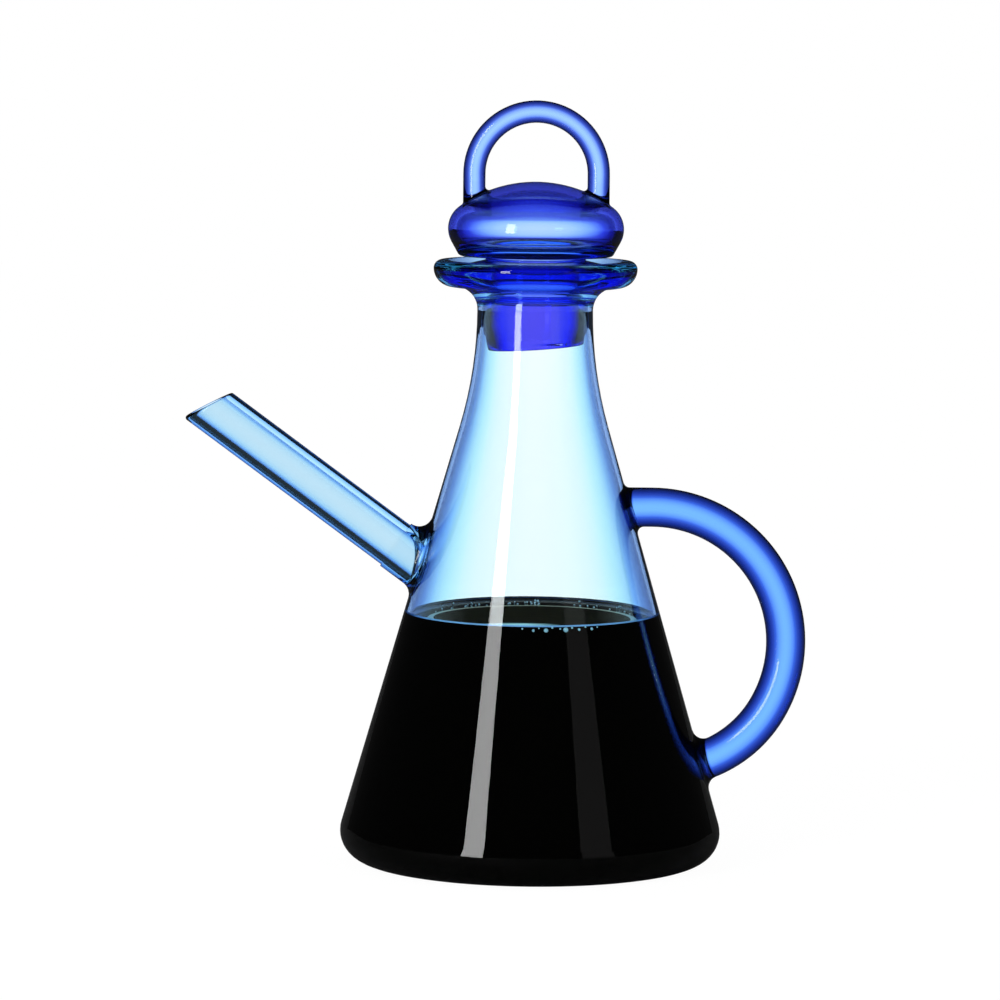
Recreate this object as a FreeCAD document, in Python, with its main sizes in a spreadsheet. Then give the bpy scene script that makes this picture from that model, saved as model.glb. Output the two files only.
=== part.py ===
import FreeCAD, Part
import math
import os
import Sketcher

# Oil and vinegar cruet of lampworked borosilicate glass, in millimetres.
# Frame: origin at the middle of the base on the bottle's axis, +Z up,
# the spout towards -X and the handle towards +X.
# Five pieces: the clear blue bottle, the spout sealed over a hole in its side,
# the solid cobalt handle fused to its other side, the hollow cobalt stopper
# and the vinegar inside.

doc = FreeCAD.newDocument("cruet")

# ---------------------------------------------------------------- sizes

DRIVING = [
    # bottle, outside
    ("base_radius", 50.0, "widest radius of the body, just above the base"),
    ("corner_radius", 7.7, "round of the outer base corner"),
    ("neck_radius", 15.1, "outer radius of the neck at its narrowest"),
    ("neck_sweep", 110.0, "radius of the hollow curve from cone to neck"),
    ("mouth_height", 158.0, "height of the flat top of the mouth flange"),
    ("flange_width", 11.5, "how far the mouth flange reaches out past the neck"),
    ("flange_curve", 4.8, "radius of the saucer curve under the flange"),
    ("flange_lip", 2.15, "round of the flange's upper edge"),
    ("collar_fillet", 6.0, "hollow curve between neck and flange"),
    # bottle, inside
    ("body_wall", 2.0, "wall of the body at its widest"),
    ("neck_wall", 1.15, "wall of the neck"),
    ("base_wall", 2.6, "thickness of the flat base"),
    ("inner_corner", 6.0, "round of the inner base corner"),
    ("funnel_width", 8.85, "how far the dished mouth's cone widens from the bore to the flange's top"),
    ("funnel_rise", 33.5, "slope of the dished mouth, degrees"),
    ("mouth_round", 1.5, "round between the dished mouth and the flange's top"),
    # spout
    ("spout_origin", 56.7, "height where the spout's line meets the bottle's axis"),
    ("spout_rise", 36.25, "angle of the spout above the horizontal, degrees"),
    ("spout_length", 105.9, "distance along the spout's line from axis to mouth"),
    ("spout_radius", 6.4, "outer radius of the spout tube"),
    ("spout_wall", 2.2, "wall of the spout tube"),
    ("spout_slant", 26.5, "slant of the pouring mouth, degrees"),
    ("stub_swell", 0.45, "how far the seal swells out of the tube"),
    ("stub_length", 44.5, "distance along the spout's line to the seal's end"),
    ("spout_fillet", 3.6, "fillet between spout and body"),
    ("lip_round", 0.7, "fire-polished round of the pouring mouth"),
    # handle
    ("rod_radius", 5.1, "radius of the solid handle rod"),
    ("handle_top", 93.6, "height of the rod's centre at the upper foot"),
    ("handle_bend", 35.4, "radius of the handle's main bend"),
    ("handle_reach", 66.7, "distance from the axis to the rod's outermost centre"),
    ("handle_tuck", 31.2, "radius of the tighter bend into the lower foot"),
    ("handle_tuck_start", 30.0, "where that bend starts, degrees below level"),
    ("handle_tuck_end", 88.0, "where that bend ends inside the wall, degrees"),
    ("upper_foot_fillet", 1.6, "flare of the upper foot"),
    ("lower_foot_fillet", 3.0, "flare of the lower foot"),
    # stopper
    ("bulb_width", 9.1, "how far the stopper's bulb reaches out past the plug"),
    ("bulb_side", 7.0, "radius of the bulb's rounded side"),
    ("bulb_crown", 12.2, "height of the bulb's top above its widest line"),
    ("bulb_under", 61.0, "slope of the bulb's lower flank, degrees"),
    ("bulb_lift", 1.2, "height of the bulb's lowest level above the flange's top"),
    ("heel_round", 1.2, "round between the bulb's flank and its underside"),
    ("underside_rise", 2.0, "slope of the bulb's underside, degrees"),
    ("pinch_depth", 0.8, "how far the neck between bulb and collar pinches in from the plug"),
    ("pinch_round", 0.5, "hollow round of that neck"),
    ("collar_width", 5.9, "how far the collar in the dished mouth reaches out past the plug"),
    ("collar_fall", 13.0, "slope of the collar's upper face, degrees"),
    ("collar_edge", 0.4, "round of the collar's edge"),
    ("bulb_wall", 2.0, "wall of the bulb"),
    ("waist_depth", 0.8, "how far the waist pinches in from the plug"),
    ("waist_span", 3.0, "length of the pinched waist below the collar"),
    ("plug_fit", 0.15, "gap between plug and bore"),
    ("plug_wall", 2.2, "wall of the open plug"),
    ("plug_straight", 17.0, "depth below the flange's top where the plug's taper starts"),
    ("plug_end", 24.4, "depth below the flange's top where the taper would end"),
    ("plug_taper", 2.0, "how far the taper draws the plug in"),
    ("plug_depth", 22.7, "depth of the cut end below the flange's top, on the axis"),
    ("plug_cut", 4.2, "slant of the plug's cut end, degrees"),
    ("plug_rim", 0.5, "fire-polished round of the cut end"),
    ("throat_round", 2.0, "round between the plug's bore and the bulb's hollow"),
    ("ring_rod", 2.85, "radius of the ring's rod"),
    ("ring_bend", 16.2, "radius of the ring's centre line"),
    ("ring_rise", 22.5, "height of the ring's centre above the flange's top"),
    ("ring_fillet", 1.0, "fillet between ring and bulb"),
    # vinegar
    ("level", 64.0, "level of the vinegar above the table"),
    ("meniscus_rise", 1.5, "how high the vinegar climbs at the wall"),
    ("meniscus_curve", 2.4, "radius of that climb"),
]

DERIVED = [
    ("flange_radius", "=neck_radius + flange_width"),
    ("rim_height", "=mouth_height - flange_lip"),
    ("neck_height", "=rim_height - sqrt(pow(collar_fillet + flange_curve; 2) - "
                    "pow(flange_radius - flange_curve - neck_radius - collar_fillet; 2))"),
    ("bore_radius", "=neck_radius - neck_wall"),
    ("funnel_radius", "=bore_radius + funnel_width"),
    ("funnel_base", "=mouth_height - funnel_width * tan(funnel_rise)"),
    ("plug_radius", "=bore_radius - plug_fit"),
    ("collar_radius", "=plug_radius + collar_width"),
    ("pinch_radius", "=plug_radius - pinch_depth"),
    ("bulb_radius", "=plug_radius + bulb_width"),
    ("bulb_height", "=mouth_height + bulb_lift + bulb_side"),
    ("ring_height", "=mouth_height + ring_rise"),
    ("collar_base", "=funnel_base - plug_fit * tan(funnel_rise)"),
    ("spout_bore", "=spout_radius - spout_wall"),
    ("clear_out", "=4 * base_radius"),
]

sheet = doc.addObject("Spreadsheet::Sheet", "sizes")
for row, (alias, number, meaning) in enumerate(DRIVING, 1):
    sheet.set("A%d" % row, alias)
    sheet.set("B%d" % row, str(number))
    sheet.setAlias("B%d" % row, alias)
    sheet.set("C%d" % row, meaning)
for row, (alias, formula) in enumerate(DERIVED, len(DRIVING) + 1):
    sheet.set("A%d" % row, alias)
    sheet.set("B%d" % row, formula)
    sheet.setAlias("B%d" % row, alias)
doc.recompute()


def size(alias):
    """The present value of a cell, for a sketch's first guess."""
    return float(sheet.get(alias))


# ------------------------------------------------------------- sketching

START = 1
END = 2
CENTRE = 3
ORIGIN = -1
UPRIGHT = -2
NEAR = 0.01


def vector(across, up):
    return FreeCAD.Vector(across, up, 0)


class Outline:
    """A closed outline whose lines and arcs are held by constraints bound to the sheet."""

    def __init__(self, body, name, plane):
        self.sketch = body.newObject("Sketcher::SketchObject", name)
        faces = [face for face in body.Origin.OriginFeatures if face.Role == plane]
        self.sketch.AttachmentSupport = [(faces[0], "")]
        self.sketch.MapMode = "FlatFace"

    def tilt(self, height, angle):
        """Raise the sketch's origin and turn its first axis, both bound to the sheet."""
        self.sketch.AttachmentOffset = FreeCAD.Placement(
            FreeCAD.Vector(0, 0, 0), FreeCAD.Rotation(FreeCAD.Vector(0, 0, 1), 0))
        self.sketch.setExpression("AttachmentOffset.Base.y", height)
        self.sketch.setExpression("AttachmentOffset.Rotation.Angle", angle)
        doc.recompute()

    def line(self, start, end, guide=False):
        return self.sketch.addGeometry(Part.LineSegment(vector(*start), vector(*end)), guide)

    def arc(self, centre, radius, first, last, guide=False):
        """An arc about a centre, anticlockwise from the first angle to the last, in degrees."""
        circle = Part.Circle(vector(*centre), FreeCAD.Vector(0, 0, 1), radius)
        bow = Part.ArcOfCircle(circle, math.radians(first), math.radians(last))
        return self.sketch.addGeometry(bow, guide)

    def hold(self, kind, *places):
        return self.sketch.addConstraint(Sketcher.Constraint(kind, *places))

    def join(self, *ends):
        self.hold("Coincident", *ends)

    def smooth(self, *ends):
        self.hold("Tangent", *ends)

    def bind(self, kind, places, formula):
        """A driven size: the constraint follows a formula of the sheet's cells."""
        value = self.sketch.evalExpression(formula)
        value = getattr(value, "Value", value)
        if kind == "Angle":
            value = math.radians(value)
        index = self.hold(kind, *places, value)
        self.sketch.setExpression("Constraints[%d]" % index, formula)

    def across(self, edge, end, formula):
        self.bind("DistanceX", (ORIGIN, START, edge, end), formula)

    def up(self, edge, end, formula):
        self.bind("DistanceY", (ORIGIN, START, edge, end), formula)

    def radius(self, edge, formula):
        self.bind("Radius", (edge,), formula)


# --------------------------------------------------------- shared outlines

def side_lean(corner, sweep_centre, corner_round, sweep):
    """Lean in degrees of the straight side that touches the base corner and the neck's curve."""
    apart_across = sweep_centre[0] - corner[0]
    apart_up = sweep_centre[1] - corner[1]
    apart = math.hypot(apart_across, apart_up)
    turn = math.asin((corner_round + sweep) / apart)
    return math.degrees(math.atan2(apart_up, apart_across) + turn) - 90


def round_point(centre, radius, angle):
    """The point of a circle at an angle in degrees."""
    turn = math.radians(angle)
    return (centre[0] + radius * math.cos(turn), centre[1] + radius * math.sin(turn))


def draw_bottle_outside(body, name):
    """Base corner, straight cone, hollow neck and saucer-shaped flange, closed on the axis."""
    corner = (size("base_radius") - size("corner_radius"), size("corner_radius"))
    sweep = (size("neck_radius") + size("neck_sweep"), size("neck_height"))
    lean = side_lean(corner, sweep, size("corner_radius"), size("neck_sweep"))
    collar = (size("neck_radius") + size("collar_fillet"), size("neck_height"))
    saucer = (size("flange_radius") - size("flange_curve"), size("rim_height"))
    lip = (size("flange_radius") - size("flange_lip"), size("rim_height"))
    cone_low = round_point(corner, size("corner_radius"), lean)
    cone_high = round_point(sweep, size("neck_sweep"), 180 + lean)

    o = Outline(body, name, "YZ_Plane")
    base = o.line((0, 0), (corner[0], 0))
    foot = o.arc(corner, size("corner_radius"), -90, lean)
    side = o.line(cone_low, cone_high)
    neck = o.arc(sweep, size("neck_sweep"), 180, 180 + lean)
    under = o.arc(collar, size("collar_fillet"), 91, 180)
    bowl = o.arc(saucer, size("flange_curve"), -89, 0)
    edge = o.arc(lip, size("flange_lip"), 0, 90)
    top = o.line((lip[0], size("mouth_height")), (0, size("mouth_height")))
    axis = o.line((0, size("mouth_height")), (0, 0))

    o.join(base, START, ORIGIN, START)
    o.hold("Horizontal", base)
    o.smooth(base, END, foot, START)
    o.smooth(foot, END, side, START)
    o.smooth(side, END, neck, END)
    o.smooth(neck, START, under, END)
    o.smooth(under, START, bowl, START)
    o.smooth(bowl, END, edge, START)
    o.smooth(edge, END, top, START)
    o.hold("Horizontal", top)
    o.join(top, END, axis, START)
    o.hold("Vertical", axis)
    o.join(axis, END, ORIGIN, START)
    o.radius(foot, "sizes.corner_radius")
    o.across(foot, CENTRE, "sizes.base_radius - sizes.corner_radius")
    o.radius(neck, "sizes.neck_sweep")
    o.across(neck, START, "sizes.neck_radius")
    o.hold("Horizontal", neck, START, neck, CENTRE)
    o.radius(under, "sizes.collar_fillet")
    o.radius(bowl, "sizes.flange_curve")
    o.across(bowl, END, "sizes.flange_radius")
    o.hold("Horizontal", bowl, END, bowl, CENTRE)
    o.radius(edge, "sizes.flange_lip")
    o.up(edge, END, "sizes.mouth_height")
    return o.sketch


def draw_hollow_side(o, guide):
    """Inner base corner, straight side and neck curve of the blown hollow, held in place."""
    corner = (size("base_radius") - size("body_wall") - size("inner_corner"),
              size("base_wall") + size("inner_corner"))
    sweep_radius = size("neck_sweep") + size("neck_wall")
    sweep = (size("bore_radius") + sweep_radius, size("neck_height"))
    lean = side_lean(corner, sweep, size("inner_corner"), sweep_radius)
    foot = o.arc(corner, size("inner_corner"), -90, lean, guide)
    side = o.line(round_point(corner, size("inner_corner"), lean),
                  round_point(sweep, sweep_radius, 180 + lean), guide)
    neck = o.arc(sweep, sweep_radius, 180, 180 + lean, guide)
    o.smooth(foot, END, side, START)
    o.smooth(side, END, neck, END)
    o.radius(foot, "sizes.inner_corner")
    o.across(foot, CENTRE, "sizes.base_radius - sizes.body_wall - sizes.inner_corner")
    o.up(foot, CENTRE, "sizes.base_wall + sizes.inner_corner")
    o.radius(neck, "sizes.neck_sweep + sizes.neck_wall")
    o.across(neck, START, "sizes.bore_radius")
    o.up(neck, START, "sizes.neck_height")
    o.hold("Horizontal", neck, START, neck, CENTRE)
    return foot, side, neck


def draw_bottle_inside(body, name):
    """The blown hollow, the straight bore of the neck and the dished mouth."""
    bore = size("bore_radius")
    mouth = size("mouth_height")
    soft = size("mouth_round")
    rise = size("funnel_rise")
    above = mouth + size("clear_out")
    middle = size("base_radius") - size("body_wall") - size("inner_corner")
    brim = (size("funnel_radius") + soft * math.tan(math.radians(rise / 2)), mouth - soft)

    o = Outline(body, name, "YZ_Plane")
    foot, side, neck = draw_hollow_side(o, False)
    floor = o.line((0, size("base_wall")), (middle, size("base_wall")))
    wall = o.line((bore, size("neck_height")), (bore, size("funnel_base")))
    funnel = o.line((bore, size("funnel_base")), round_point(brim, soft, 90 + rise))
    edge = o.arc(brim, soft, 90, 90 + rise)
    out = o.line((brim[0], mouth), (brim[0], above))
    top = o.line((brim[0], above), (0, above))
    axis = o.line((0, above), (0, size("base_wall")))

    o.smooth(floor, END, foot, START)
    o.hold("Horizontal", floor)
    o.smooth(neck, START, wall, START)
    o.join(wall, END, funnel, START)
    o.smooth(funnel, END, edge, END)
    o.join(edge, START, out, START)
    o.hold("Vertical", edge, START, edge, CENTRE)
    o.hold("Vertical", out)
    o.join(out, END, top, START)
    o.hold("Horizontal", top)
    o.join(top, END, axis, START)
    o.hold("PointOnObject", axis, START, UPRIGHT)
    o.join(axis, END, floor, START)
    o.hold("PointOnObject", axis, END, UPRIGHT)
    o.up(wall, END, "sizes.funnel_base")
    o.bind("Angle", (ORIGIN, funnel), "sizes.funnel_rise")
    o.radius(edge, "sizes.mouth_round")
    o.up(edge, START, "sizes.mouth_height")
    o.up(top, END, "sizes.mouth_height + sizes.clear_out")
    return o.sketch


def revolve(body, kind, sketch, axis):
    """A full turn of a sketch, as PartDesign::Revolution or PartDesign::Groove."""
    feature = body.newObject(kind, sketch.Name + "_turned")
    feature.Profile = sketch
    feature.ReferenceAxis = (sketch, [axis])
    feature.Angle = 360
    doc.recompute()
    return feature


def round_edges(body, name, wanted, formula):
    """A fillet on each edge of the body's last feature that the test wants."""
    before = body.Tip
    edges = ["Edge%d" % (i + 1) for i, edge in enumerate(before.Shape.Edges)
             if not edge.Degenerated and wanted(edge)]
    if not edges:
        raise RuntimeError("no edge found for " + name)
    feature = body.newObject("PartDesign::Fillet", name)
    feature.Base = (before, edges)
    feature.setExpression("Radius", formula)
    doc.recompute()
    return feature


def runs_at(edge, shape, distance):
    """Whether an edge keeps one distance from a shape all along."""
    gaps = [shape.distToShape(Part.Vertex(point))[0] for point in edge.discretize(9)]
    return all(abs(gap - distance) < NEAR for gap in gaps)


def in_plane(edge, point, normal):
    """Whether an edge lies in the plane through a point."""
    direction = FreeCAD.Vector(normal).normalize()
    return all(abs((place - point).dot(direction)) < NEAR for place in edge.discretize(9))


def new_body(label):
    body = doc.addObject("PartDesign::Body", label)
    body.Label = label
    doc.recompute()
    return body


# ----------------------------------------------------------------- bottle

def spout_outline(body, name):
    """A sketch whose first axis is the spout's own line, from the bottle's axis outwards."""
    outline = Outline(body, name, "XZ_Plane")
    outline.tilt("sizes.spout_origin", "180 - sizes.spout_rise")
    return outline


def spout_line():
    """The spout's own line, from the bottle's axis to its mouth."""
    turn = math.radians(size("spout_rise"))
    start = FreeCAD.Vector(0, 0, size("spout_origin"))
    along = FreeCAD.Vector(-math.cos(turn), 0, math.sin(turn))
    return Part.makeLine(start, start + along * size("spout_length"))


def chain(outline, corners, formulas):
    """A closed chain of lines through corners, each held by a pair of formulas."""
    count = len(corners)
    edges = [outline.line(corners[i], corners[(i + 1) % count]) for i in range(count)]
    for i in range(count):
        outline.join(edges[i], END, edges[(i + 1) % count], START)
    for edge, (across, up) in zip(edges, formulas):
        outline.across(edge, START, across)
        outline.up(edge, START, up)
    return edges


def polygon(outline, formulas):
    """A closed chain of lines whose corners are pairs of formulas."""
    def number(formula):
        value = outline.sketch.evalExpression(formula)
        return float(getattr(value, "Value", value))
    corners = [(number(across), number(up)) for across, up in formulas]
    chain(outline, corners, formulas)
    return outline.sketch


def draw_tube(body, name, radius, inner, outer):
    """Half the lengthwise section of a round tube or bore on the spout's line."""
    outline = spout_outline(body, name)
    return polygon(outline, [(inner, "0"), (outer, "0"), (outer, radius), (inner, radius)])


def is_spout_root(edge, wall):
    """The line where the tube's seal meets the body."""
    seal = size("spout_radius") + size("stub_swell")
    return runs_at(edge, spout_line(), seal) and runs_at(edge, wall, 0)


def is_pouring_edge(edge):
    """Either edge of the slanted mouth."""
    slant = FreeCAD.Rotation(FreeCAD.Vector(0, 1, 0), size("spout_slant"))
    tip = spout_line().Vertexes[1].Point
    return in_plane(edge, tip, slant.multVec(tip - spout_line().Vertexes[0].Point))


def draw_spout_hole(body, name):
    """The bore through the bottle's wall, in line with the spout's."""
    return draw_tube(body, name, "sizes.spout_bore", "0", "sizes.stub_length")


def make_bottle():
    """Body, neck and flange in one wall, with the hole that the spout is sealed over."""
    body = new_body("bottle")
    revolve(body, "PartDesign::Revolution", draw_bottle_outside(body, "outside"), "V_Axis")
    revolve(body, "PartDesign::Groove", draw_bottle_inside(body, "inside"), "V_Axis")
    revolve(body, "PartDesign::Groove", draw_spout_hole(body, "spout_hole"), "H_Axis")
    return body


def make_spout():
    """The straight tube with its seal ring and root, up to the outside of the bottle's wall."""
    body = new_body("spout")
    wall = revolve(body, "PartDesign::Revolution", draw_bottle_outside(body, "wall"), "V_Axis").Shape
    far = "sizes.spout_length + 2 * sizes.spout_radius"
    near = "sizes.bore_radius"
    tube = draw_tube(body, "tube", "sizes.spout_radius", near, far)
    revolve(body, "PartDesign::Revolution", tube, "H_Axis")
    seal = draw_tube(body, "seal", "sizes.spout_radius + sizes.stub_swell", near, "sizes.stub_length")
    revolve(body, "PartDesign::Revolution", seal, "H_Axis")
    round_edges(body, "root", lambda edge: is_spout_root(edge, wall), "sizes.spout_fillet")
    revolve(body, "PartDesign::Groove", draw_bottle_outside(body, "wall_away"), "V_Axis")
    bore = draw_tube(body, "bore", "sizes.spout_bore", "0", far)
    revolve(body, "PartDesign::Groove", bore, "H_Axis")

    wide = "2 * sizes.spout_radius"
    lean = wide + " * tan(sizes.spout_slant)"
    outline = spout_outline(body, "slant")
    slant = polygon(outline, [
        ("sizes.spout_length - " + lean, "-" + wide),
        ("sizes.spout_length + 2 * " + wide, "-" + wide),
        ("sizes.spout_length + 2 * " + wide, wide),
        ("sizes.spout_length + " + lean, wide)])
    cut = body.newObject("PartDesign::Pocket", "slanted_mouth")
    cut.Profile = slant
    cut.Type = "ThroughAll"
    cut.Midplane = True
    doc.recompute()
    round_edges(body, "fire_polish", is_pouring_edge, "sizes.lip_round")
    return body


# ----------------------------------------------------------------- handle

def make_handle():
    """The bent rod with its flared feet, up to the outside of the bottle's wall."""
    body = new_body("handle")
    wall = revolve(body, "PartDesign::Revolution", draw_bottle_outside(body, "wall"), "V_Axis").Shape

    reach = size("handle_reach")
    bend = size("handle_bend")
    tuck = size("handle_tuck")
    top = size("handle_top")
    turn = size("handle_tuck_start")
    last = size("handle_tuck_end")
    start = size("neck_radius")
    middle = (reach - bend, top - bend)
    shift = round_point((0, 0), bend - tuck, -turn)
    low = (middle[0] + shift[0], middle[1] + shift[1])

    o = Outline(body, "rod_path", "XZ_Plane")
    foot = o.line((start, top), (middle[0], top))
    main = o.arc(middle, bend, -turn, 90)
    tight = o.arc(low, tuck, -last, -turn)
    toe = o.line(round_point(low, tuck, -last), (start, top - bend - tuck))
    o.hold("Horizontal", foot)
    o.across(foot, START, "sizes.neck_radius")
    o.up(foot, START, "sizes.handle_top")
    o.smooth(foot, END, main, END)
    o.smooth(main, START, tight, END)
    o.smooth(tight, START, toe, START)
    o.across(toe, END, "sizes.neck_radius")
    o.radius(main, "sizes.handle_bend")
    o.across(main, CENTRE, "sizes.handle_reach - sizes.handle_bend")
    o.radius(tight, "sizes.handle_tuck")
    to_start = o.line(middle, round_point(middle, bend, -turn), True)
    o.join(to_start, START, main, CENTRE)
    o.join(to_start, END, main, START)
    o.bind("Angle", (to_start, -1), "sizes.handle_tuck_start")
    to_end = o.line(low, round_point(low, tuck, -last), True)
    o.join(to_end, START, tight, CENTRE)
    o.join(to_end, END, tight, START)
    o.bind("Angle", (to_end, -1), "sizes.handle_tuck_end")
    path = o.sketch

    section = Outline(body, "rod_section", "YZ_Plane")
    ring = section.sketch.addGeometry(
        Part.Circle(vector(0, top), FreeCAD.Vector(0, 0, 1), size("rod_radius")), False)
    section.hold("PointOnObject", ring, CENTRE, UPRIGHT)
    section.up(ring, CENTRE, "sizes.handle_top")
    section.radius(ring, "sizes.rod_radius")
    section.sketch.setExpression("AttachmentOffset.Base.z", "sizes.neck_radius")
    doc.recompute()

    rod = body.newObject("PartDesign::AdditivePipe", "rod")
    rod.Profile = section.sketch
    rod.Spine = path
    doc.recompute()

    def is_foot(edge, upper):
        """The line where one end of the rod meets the body."""
        on_rod = runs_at(edge, path.Shape, size("rod_radius"))
        is_high = edge.CenterOfMass.z > size("handle_top") - size("handle_bend")
        return on_rod and runs_at(edge, wall, 0) and is_high == upper

    round_edges(body, "upper_flare", lambda edge: is_foot(edge, True), "sizes.upper_foot_fillet")
    round_edges(body, "lower_flare", lambda edge: is_foot(edge, False), "sizes.lower_foot_fillet")
    revolve(body, "PartDesign::Groove", draw_bottle_outside(body, "wall_away"), "V_Axis")
    return body


# ---------------------------------------------------------------- stopper

def draw_stopper_outside(body, name):
    """Open plug, waist, conical collar, pinched neck and oblate bulb, closed on the axis."""
    mouth = size("mouth_height")
    plug = size("plug_radius")
    tip = plug - size("plug_taper")
    low = mouth - size("plug_end")
    straight = mouth - size("plug_straight")
    seat = size("collar_base")
    span = size("waist_span")
    depth = size("waist_depth")
    pinch = (span * span / 4 + depth * depth) / (2 * depth)
    half = math.degrees(math.asin(span / 2 / pinch))
    rise = size("funnel_rise")
    fall = size("collar_fall")
    soft = size("collar_edge")
    edge_x = size("collar_radius") - soft
    edge_rise = (edge_x - plug) * math.tan(math.radians(rise)) + soft / math.cos(math.radians(rise))
    rim = (edge_x, seat + edge_rise)
    hollow = size("pinch_round")
    groove = size("pinch_radius") + hollow
    fall_off_rise = (edge_x - groove) * math.tan(math.radians(fall))
    nook = (groove, rim[1] + fall_off_rise + (soft + hollow) / math.cos(math.radians(fall)))
    lift = size("underside_rise")
    under = size("bulb_under") - 90
    side = size("bulb_side")
    belly = (size("bulb_radius") - side, size("bulb_height"))
    flank = round_point(belly, side, under)
    heel_round = size("heel_round")
    below = nook[1] + (hollow + heel_round) / math.cos(math.radians(lift))
    slope = math.tan(math.radians(size("bulb_under")))
    gentle = math.tan(math.radians(lift))
    inset = heel_round / math.sin(math.radians(size("bulb_under")))
    heel_x = (below - gentle * nook[0] - flank[1] + slope * (flank[0] - inset)) / (slope - gentle)
    heel = (heel_x, below + gentle * (heel_x - nook[0]))
    top = size("bulb_height") + size("bulb_crown")
    crown = 2 * size("bulb_radius")

    o = Outline(body, name, "YZ_Plane")
    end = o.line((0, low), (tip, low))
    taper = o.line((tip, low), (plug, straight))
    wall = o.line((plug, straight), (plug, seat - span))
    waist = o.arc((plug - depth + pinch, seat - span / 2), pinch, 180 - half, 180 + half)
    cone = o.line((plug, seat), round_point(rim, soft, rise - 90))
    edge = o.arc(rim, soft, rise - 90, 90 - fall)
    fall_off = o.line(round_point(rim, soft, 90 - fall), round_point(nook, hollow, 270 - fall))
    neck = o.arc(nook, hollow, 90 + lift, 270 - fall)
    under_side = o.line(round_point(nook, hollow, 90 + lift),
                        round_point(heel, heel_round, lift - 90))
    round_off = o.arc(heel, heel_round, lift - 90, under)
    flank_side = o.line(round_point(heel, heel_round, under), flank)
    cheek = o.arc(belly, side, under, 60)
    dome = o.arc((0, top - crown), crown, 60, 90)
    axis = o.line((0, top), (0, low))

    o.hold("Horizontal", end)
    o.join(end, END, taper, START)
    o.join(taper, END, wall, START)
    o.hold("Vertical", wall)
    o.join(wall, END, waist, END)
    o.join(waist, START, cone, START)
    o.smooth(cone, END, edge, START)
    o.smooth(edge, END, fall_off, START)
    o.smooth(fall_off, END, neck, END)
    o.smooth(neck, START, under_side, START)
    o.smooth(under_side, END, round_off, START)
    o.smooth(round_off, END, flank_side, START)
    o.smooth(flank_side, END, cheek, START)
    o.smooth(cheek, END, dome, START)
    o.join(dome, END, axis, START)
    o.join(axis, END, end, START)
    o.hold("PointOnObject", dome, CENTRE, UPRIGHT)
    o.hold("PointOnObject", axis, START, UPRIGHT)
    o.hold("PointOnObject", axis, END, UPRIGHT)
    o.up(end, START, "sizes.mouth_height - sizes.plug_end")
    o.across(end, END, "sizes.plug_radius - sizes.plug_taper")
    o.up(taper, END, "sizes.mouth_height - sizes.plug_straight")
    o.across(taper, END, "sizes.plug_radius")
    o.up(wall, END, "sizes.collar_base - sizes.waist_span")
    o.across(cone, START, "sizes.plug_radius")
    o.up(cone, START, "sizes.collar_base")
    o.across(waist, CENTRE, "sizes.plug_radius - sizes.waist_depth + (sizes.waist_span ^ 2 / 4"
             " + sizes.waist_depth ^ 2) / (2 * sizes.waist_depth)")
    o.bind("Angle", (ORIGIN, cone), "sizes.funnel_rise")
    o.radius(edge, "sizes.collar_edge")
    o.across(edge, CENTRE, "sizes.collar_radius - sizes.collar_edge")
    o.bind("Angle", (ORIGIN, fall_off), "180 - sizes.collar_fall")
    o.radius(neck, "sizes.pinch_round")
    o.across(neck, CENTRE, "sizes.pinch_radius + sizes.pinch_round")
    o.bind("Angle", (ORIGIN, under_side), "sizes.underside_rise")
    o.radius(round_off, "sizes.heel_round")
    o.bind("Angle", (ORIGIN, flank_side), "sizes.bulb_under")
    o.radius(cheek, "sizes.bulb_side")
    o.across(cheek, CENTRE, "sizes.bulb_radius - sizes.bulb_side")
    o.up(cheek, CENTRE, "sizes.bulb_height")
    o.up(dome, END, "sizes.bulb_height + sizes.bulb_crown")
    return o.sketch


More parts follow.
